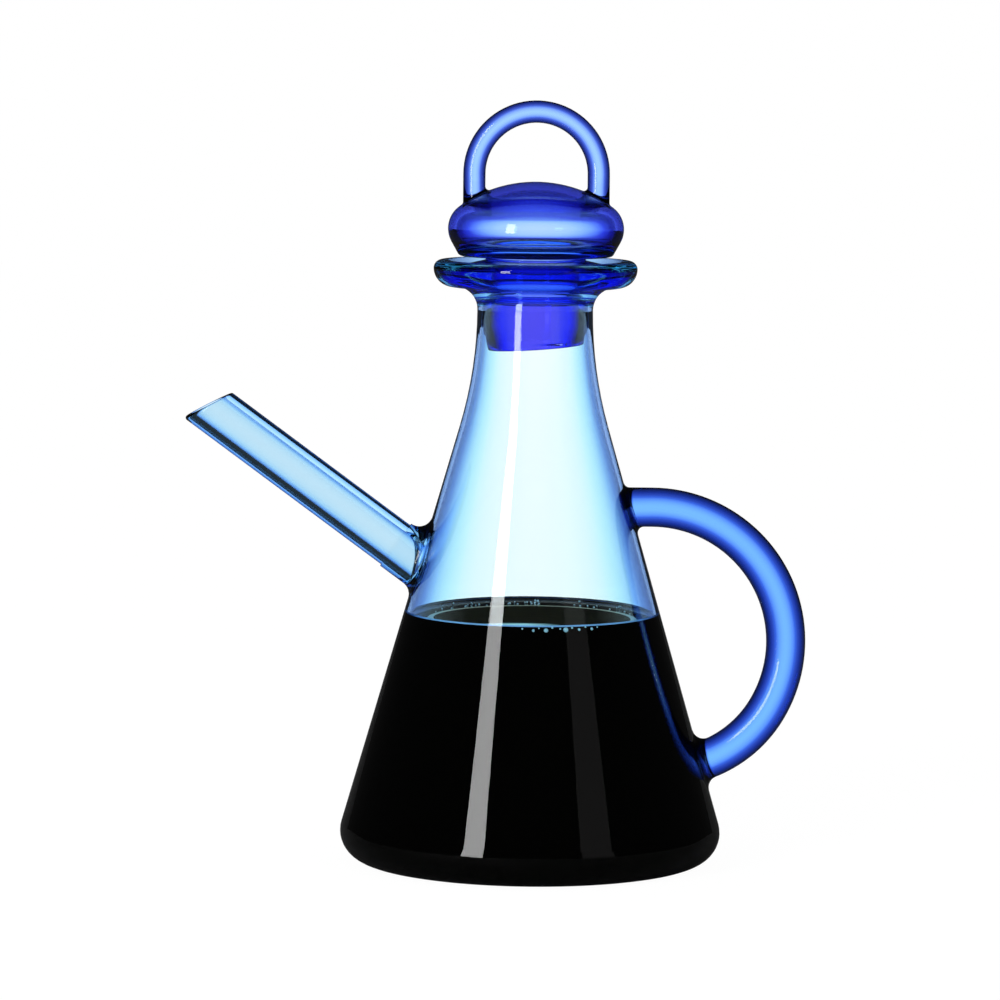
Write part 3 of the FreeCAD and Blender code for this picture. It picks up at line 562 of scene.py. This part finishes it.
def front_to_back_group():
    """A shared colour that goes from one to another from the front to the back of a piece."""
    name = "front_to_back"
    if name in bpy.data.node_groups:
        return bpy.data.node_groups[name]
    group = bpy.data.node_groups.new(name, "ShaderNodeTree")
    for label, kind in (("Front", "NodeSocketColor"), ("Back", "NodeSocketColor"),
                        ("Start", "NodeSocketFloat"), ("End", "NodeSocketFloat")):
        group.interface.new_socket(label, in_out="INPUT", socket_type=kind)
    group.interface.new_socket("Color", in_out="OUTPUT", socket_type="NodeSocketColor")
    nodes = group.nodes
    links = group.links
    given = nodes.new("NodeGroupInput")
    result = nodes.new("NodeGroupOutput")
    place = nodes.new("ShaderNodeTexCoord")
    split = nodes.new("ShaderNodeSeparateXYZ")
    share = nodes.new("ShaderNodeMapRange")
    mix = nodes.new("ShaderNodeMix")
    mix.data_type = "RGBA"
    links.new(place.outputs["Object"], split.inputs["Vector"])
    links.new(split.outputs["Y"], share.inputs["Value"])
    links.new(given.outputs["Start"], share.inputs["From Min"])
    links.new(given.outputs["End"], share.inputs["From Max"])
    links.new(share.outputs["Result"], mix.inputs["Factor"])
    links.new(given.outputs["Front"], mix.inputs["A"])
    links.new(given.outputs["Back"], mix.inputs["B"])
    links.new(mix.outputs["Result"], result.inputs["Color"])
    return group


def faded_material(name, front, back, start, end, roughness):
    """A material that goes from its front colour to its back colour between two places."""
    material, nodes, links, shader = new_material(name)
    fade = nodes.new("ShaderNodeGroup")
    fade.node_tree = front_to_back_group()
    fade.inputs["Front"].default_value = (*front, 1)
    fade.inputs["Back"].default_value = (*back, 1)
    fade.inputs["Start"].default_value = start
    fade.inputs["End"].default_value = end
    links.new(fade.outputs["Color"], shader.inputs["Base Color"])
    shader.inputs["Roughness"].default_value = roughness
    return material


def glint_material():
    """A painted highlight: the bright line where the surface turns up, bluish in front and
    greenish behind.
    """
    return faded_material("vinegar_glint", (0.3, 0.62, 0.85), (0.2, 0.27, 0.17),
                          -30 * MM, 20 * MM, 0.4)


def froth_and_painted_light_material(name, front, behind):
    """Pale wet froth, bluish with painted light from the glass round it, that may be dimmer behind
    as painted shade.
    """
    return faded_material(name, front, behind, -25 * MM, 5 * MM, 0.15)


class CRUET_OT_froth(bpy.types.Operator):
    """Draw the contact line of the vinegar and set its bubbles along it"""
    bl_idname = "cruet.froth"
    bl_label = "Froth"

    def execute(self, context):
        settings = context.scene.cruet_vinegar
        hollow = Hollow(context.scene.cruet_bottle)
        line = make_contact_line(hollow, settings)
        # The contact film is painted light: pale blue in front where light comes through it,
        # painted shade behind.
        dress(line, froth_and_painted_light_material("contact_film", (0.22, 0.52, 0.95), (0.01, 0.03, 0.08)))
        bubbles = make_bubbles(hollow, settings)
        # The bubbles are pale froth, painted bluish with the light through the glass.
        dress(bubbles, froth_and_painted_light_material("pale_froth", (0.45, 0.85, 1.0), (0.6, 0.9, 1.0)))
        for piece in (line, bubbles):
            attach(piece, "root")
        return {"FINISHED"}


def climb(settings, inset):
    """How far the surface rises above its level at a distance in from the glass."""
    part = min(inset / (4 * settings.meniscus), 1)
    return settings.meniscus * math.exp(-4 * part) * (1 - part)


def make_contact_line(hollow, settings):
    """A thin wedge of liquid that climbs the glass above the vinegar."""
    thick = settings.line
    low = settings.level + settings.meniscus - thick / 4
    high = low + 1.25 * thick
    outline = Outline("contact_line", hollow.radius(low) + settings.sink, low)
    outline.line(hollow.radius(high) + settings.sink, high)
    outline.line(hollow.radius(low) - thick / 2, low)
    outline.line(hollow.radius(low) + settings.sink, low)
    piece = outline.turn(ROUND_STEPS)
    smooth(piece)
    return piece


def make_bubbles(hollow, settings):
    """A row of bubbles at the front of the glass and finer ones on the surface behind."""
    chance = random.Random(5)
    top = settings.level + settings.meniscus
    spots = []
    for across, size, drop in FRONT_BUBBLES:
        x = across * MM
        height = top - drop * MM
        out = hollow.radius(height) + settings.sink - 0.3 * size * MM
        spots.append((x, -math.sqrt(out * out - x * x), height, size * MM))
    for _ in range(BACK_BUBBLES):
        size = chance.uniform(0.14, 0.3) * MM
        inset = chance.uniform(0.5, 4) * MM
        out = hollow.radius(top) - inset
        x = (chance.choice(BACK_CLUSTERS) + chance.uniform(-3, 3)) * MM
        x = max(-0.93 * out, min(x, 0.93 * out))
        spots.append((x, math.sqrt(out * out - x * x),
                      settings.level + climb(settings, inset) + 0.3 * size, size))
    made = []
    for x, y, z, size in spots:
        bpy.ops.mesh.primitive_ico_sphere_add(subdivisions=2, radius=size, location=(x, y, z))
        made.append(bpy.context.object)
    deselect()
    for bubble in made:
        bubble.select_set(True)
    bpy.context.view_layer.objects.active = made[0]
    bpy.ops.object.join()
    bpy.ops.object.transform_apply(location=True, rotation=True, scale=True)
    piece = bpy.context.object
    piece.name = "bubbles"
    piece.data.name = "bubbles"
    smooth(piece, 60)
    return piece


class CRUET_OT_stage(bpy.types.Operator):
    """Set the floor, the soft light and the camera"""
    bl_idname = "cruet.stage"
    bl_label = "Stage"

    def execute(self, context):
        settings = context.scene.cruet_stage
        make_floor()
        light_studio(context.scene)
        aim_camera(context.scene, settings)
        return {"FINISHED"}


def seen_directly(nodes, links):
    """1 where the eye looks straight on or through glass, and 0 for light that falls on things."""
    path = nodes.new("ShaderNodeLightPath")
    unturned = nodes.new("ShaderNodeMath")
    unturned.operation = "LESS_THAN"
    unturned.inputs[1].default_value = 0.5
    links.new(path.outputs["Glossy Depth"], unturned.inputs[0])
    through = nodes.new("ShaderNodeMath")
    through.operation = "MULTIPLY"
    links.new(path.outputs["Is Transmission Ray"], through.inputs[0])
    links.new(unturned.outputs[0], through.inputs[1])
    seen = nodes.new("ShaderNodeMath")
    seen.operation = "MAXIMUM"
    links.new(path.outputs["Is Camera Ray"], seen.inputs[0])
    links.new(through.outputs[0], seen.inputs[1])
    return path, seen.outputs[0]


def mix_numbers(nodes, links, share, low, high):
    """A number between a plain low and a plain or linked high."""
    mix = nodes.new("ShaderNodeMix")
    mix.data_type = "FLOAT"
    links.new(share, mix.inputs["Factor"])
    if isinstance(low, float):
        mix.inputs["A"].default_value = low
    else:
        links.new(low, mix.inputs["A"])
    if isinstance(high, float):
        mix.inputs["B"].default_value = high
    else:
        links.new(high, mix.inputs["B"])
    return mix.outputs["Result"]


def make_floor():
    """A pale floor that meets the white behind it and keeps a faint shadow."""
    deselect()
    bpy.ops.mesh.primitive_plane_add(size=6)
    floor = bpy.context.object
    floor.name = "floor"
    material, nodes, links, shader = new_material("pale_floor")
    shader.inputs["Roughness"].default_value = 0.9
    glow = nodes.new("ShaderNodeEmission")
    glow.inputs["Color"].default_value = (1, 1, 1, 1)
    path, seen = seen_directly(nodes, links)
    behind = mix_numbers(nodes, links, path.outputs["Is Transmission Ray"],
                         FLOOR_GLOW, FLOOR_GLOW_THROUGH_GLASS)
    links.new(behind, glow.inputs["Strength"])
    pale = mix_numbers(nodes, links, path.outputs["Is Glossy Ray"], 0.85, 0.1)
    links.new(pale, shader.inputs["Base Color"])
    share = mix_numbers(nodes, links, seen, 0.0, FLOOR_GLOW_SHARE)
    mix = nodes.new("ShaderNodeMixShader")
    links.new(share, mix.inputs["Fac"])
    links.new(shader.outputs["BSDF"], mix.inputs[1])
    links.new(glow.outputs["Emission"], mix.inputs[2])
    links.new(mix.outputs["Shader"], nodes["Material Output"].inputs["Surface"])
    dress(floor, material)


def light_studio(scene):
    world = bpy.data.worlds.new("studio")
    scene.world = world
    world.use_nodes = True
    nodes = world.node_tree.nodes
    links = world.node_tree.links
    sky = nodes["Background"]
    sky.inputs["Color"].default_value = (1, 1, 1, 1)
    path, seen = seen_directly(nodes, links)
    lit = mix_numbers(nodes, links, path.outputs["Is Glossy Ray"], AMBIENT, MIRRORED)
    place = nodes.new("ShaderNodeTexCoord")
    split = nodes.new("ShaderNodeSeparateXYZ")
    behind = nodes.new("ShaderNodeMapRange")
    behind.inputs["From Min"].default_value = -0.4
    behind.inputs["From Max"].default_value = 0.3
    behind.inputs["To Min"].default_value = TURNED_FRONT
    behind.inputs["To Max"].default_value = TURNED_BACK
    links.new(place.outputs["Generated"], split.inputs["Vector"])
    links.new(split.outputs["Y"], behind.inputs["Value"])
    turned = mix_numbers(nodes, links, path.outputs["Is Transmission Ray"], lit,
                         behind.outputs["Result"])
    behind = mix_numbers(nodes, links, path.outputs["Is Transmission Ray"],
                         BACKDROP, BACKDROP_THROUGH_GLASS)
    level = mix_numbers(nodes, links, seen, turned, BACKDROP)
    backdrop = nodes.new("ShaderNodeMath")
    backdrop.operation = "MULTIPLY"
    links.new(level, backdrop.inputs[0])
    links.new(behind, backdrop.inputs[1])
    links.new(backdrop.outputs[0], sky.inputs["Strength"])
    for strip in STRIPS:
        add_strip(*strip)


def add_strip(name, aside, size, glow):
    """A tall softbox that faces the cruet, aside of the camera by an angle in degrees."""
    deselect()
    turn = math.radians(aside)
    place = Vector((math.sin(turn), -math.cos(turn), 0)) * STRIP_DISTANCE
    place.z = STRIP_HEIGHT
    bpy.ops.object.light_add(type="AREA", location=place)
    lamp = bpy.context.object
    lamp.name = name
    lamp.data.shape = "RECTANGLE"
    lamp.data.size = size[0]
    lamp.data.size_y = size[1]
    lamp.data.energy = 4 * glow * size[0] * size[1]
    lamp.rotation_euler = (math.radians(90), 0, turn)


def aim_camera(scene, settings):
    deselect()
    place = Vector((-settings.aside, -settings.distance, settings.height))
    bpy.ops.object.camera_add(location=place)
    camera = bpy.context.object
    camera.name = "camera"
    towards = Vector((-settings.aim_aside, 0, settings.aim)) - place
    turn = towards.to_track_quat("-Z", "Y").to_matrix().to_4x4()
    camera.matrix_world = Matrix.Translation(place) @ turn @ Matrix.Rotation(
        settings.roll, 4, "Z")
    camera.data.lens = settings.lens
    camera.data.sensor_width = 36
    scene.camera = camera
    scene.view_settings.view_transform = "Standard"


# ---------------------------------------------------------------- add-on

class CRUET_PT_panel(bpy.types.Panel):
    """Lists the cruet's pieces and their sizes"""
    bl_idname = "CRUET_PT_panel"
    bl_label = "Cruet"
    bl_space_type = "VIEW_3D"
    bl_region_type = "UI"
    bl_category = "Cruet"

    def draw(self, context):
        for operator in OPERATORS:
            self.layout.operator(operator.bl_idname)
        for name in SETTINGS:
            group = getattr(context.scene, name)
            box = self.layout.box()
            for key in group.bl_rna.properties.keys():
                if key not in ("rna_type", "name"):
                    box.prop(group, key)


SETTINGS = {
    "cruet_bottle": CruetBottleSettings,
    "cruet_handle": CruetHandleSettings,
    "cruet_stopper": CruetStopperSettings,
    "cruet_vinegar": CruetVinegarSettings,
    "cruet_stage": CruetStageSettings,
}
OPERATORS = (CRUET_OT_bottle, CRUET_OT_handle, CRUET_OT_stopper, CRUET_OT_vinegar,
             CRUET_OT_froth, CRUET_OT_stage)


def register():
    for name, group in SETTINGS.items():
        bpy.utils.register_class(group)
        setattr(bpy.types.Scene, name, PointerProperty(type=group))
    for operator in OPERATORS:
        bpy.utils.register_class(operator)
    bpy.utils.register_class(CRUET_PT_panel)


def unregister():
    bpy.utils.unregister_class(CRUET_PT_panel)
    for operator in reversed(OPERATORS):
        bpy.utils.unregister_class(operator)
    for name, group in SETTINGS.items():
        delattr(bpy.types.Scene, name)
        bpy.utils.unregister_class(group)


def main():
    register()
    bpy.ops.cruet.bottle()
    bpy.ops.cruet.handle()
    bpy.ops.cruet.stopper()
    bpy.ops.cruet.vinegar()
    bpy.ops.cruet.froth()
    bpy.ops.cruet.stage()


if __name__ == "__main__":
    main()
